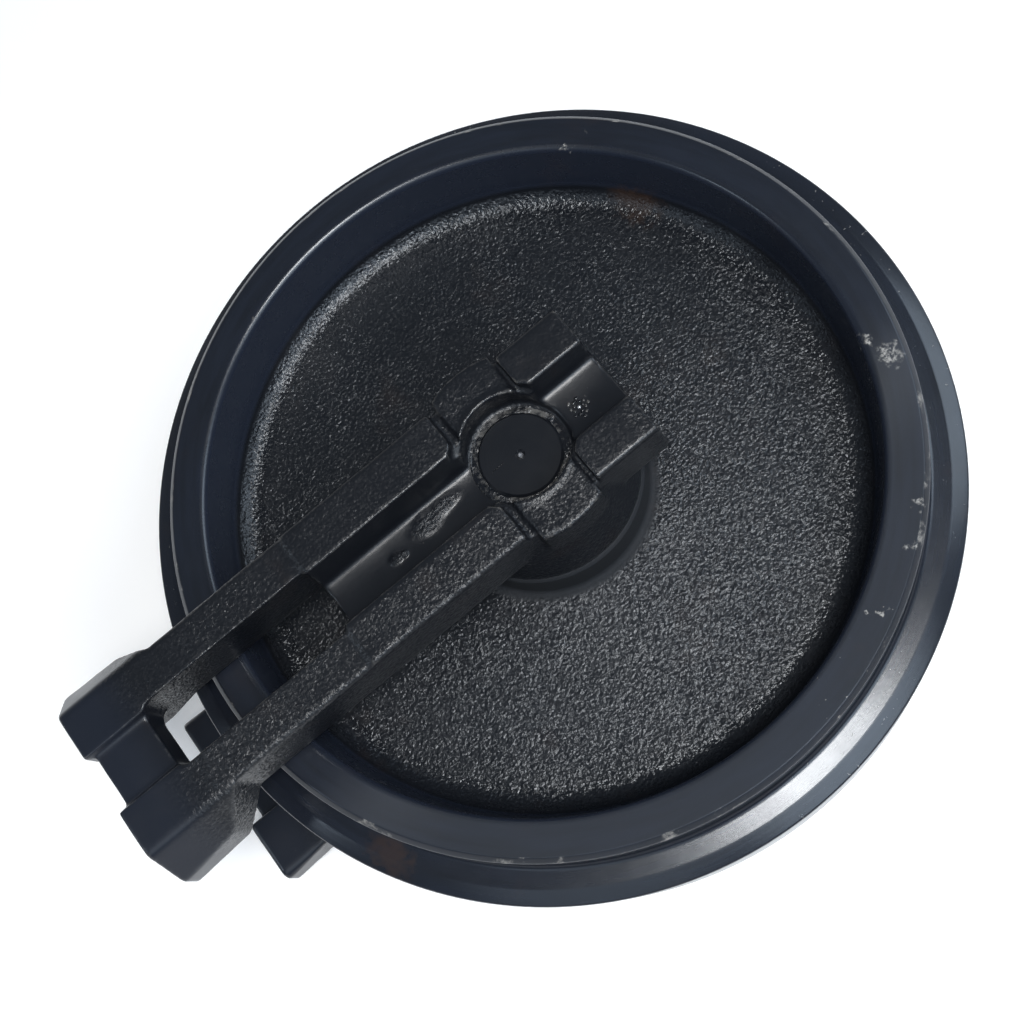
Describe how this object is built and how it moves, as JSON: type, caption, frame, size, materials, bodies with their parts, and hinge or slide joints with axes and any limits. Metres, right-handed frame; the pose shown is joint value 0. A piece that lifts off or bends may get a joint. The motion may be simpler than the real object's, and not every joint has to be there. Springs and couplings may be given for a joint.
{
  "type": "excavator front idler",
  "caption": "Flanged guide wheel of a crawler track, turning on a fixed oil-filled shaft between two cast arms whose hammer-head feet take the thrust of the track tensioner",
  "frame": {"origin": "centre of the wheel: where the shaft's axis crosses the wheel's mid-plane", "axes": "+Z along the shaft towards the outboard arm, +X along the arms towards their nose and the front of the machine, the arms' feet towards -X; the wheel lies on its side"},
  "size_m": [0.6365, 0.58, 0.276],
  "materials": {
    "arm_paint": "black gloss paint over a rough casting",
    "wheel_paint": "black gloss paint, rough on the cast webs and smooth on the turned rim",
    "shaft_paint": "ground steel, black paint on its ends",
    "pin_steel": "turned steel",
    "plug_steel": "zinc plated",
    "washer_copper": "soft copper",
    "seal_iron": "lapped on the sealing face",
    "bush_bronze": "bored bronze",
    "seal_rubber": "smooth black rubber"
  },
  "bodies": {
    "arms_and_shaft": {"outboard_arm": "arm_paint", "inboard_arm": "arm_paint", "shaft": "shaft_paint", "outboard_lock_pin": "pin_steel", "inboard_lock_pin": "pin_steel", "outboard_shaft_o_ring": "seal_rubber", "inboard_shaft_o_ring": "seal_rubber", "oil_plug": "plug_steel", "oil_plug_washer": "washer_copper", "outboard_arm_seal_ring": "seal_iron", "inboard_arm_seal_ring": "seal_iron", "outboard_arm_toric": "seal_rubber", "inboard_arm_toric": "seal_rubber"},
    "wheel": {"idler_wheel": "wheel_paint", "outboard_bush": "bush_bronze", "inboard_bush": "bush_bronze", "outboard_hub_seal_ring": "seal_iron", "inboard_hub_seal_ring": "seal_iron", "outboard_hub_toric": "seal_rubber", "inboard_hub_toric": "seal_rubber"}
  },
  "joints": [
    {"name": "wheel_spin", "type": "hinge", "parent": "arms_and_shaft", "child": "wheel", "pos_m": [0, 0, 0], "axis": [0, 0, 1], "continuous": true}
  ]
}
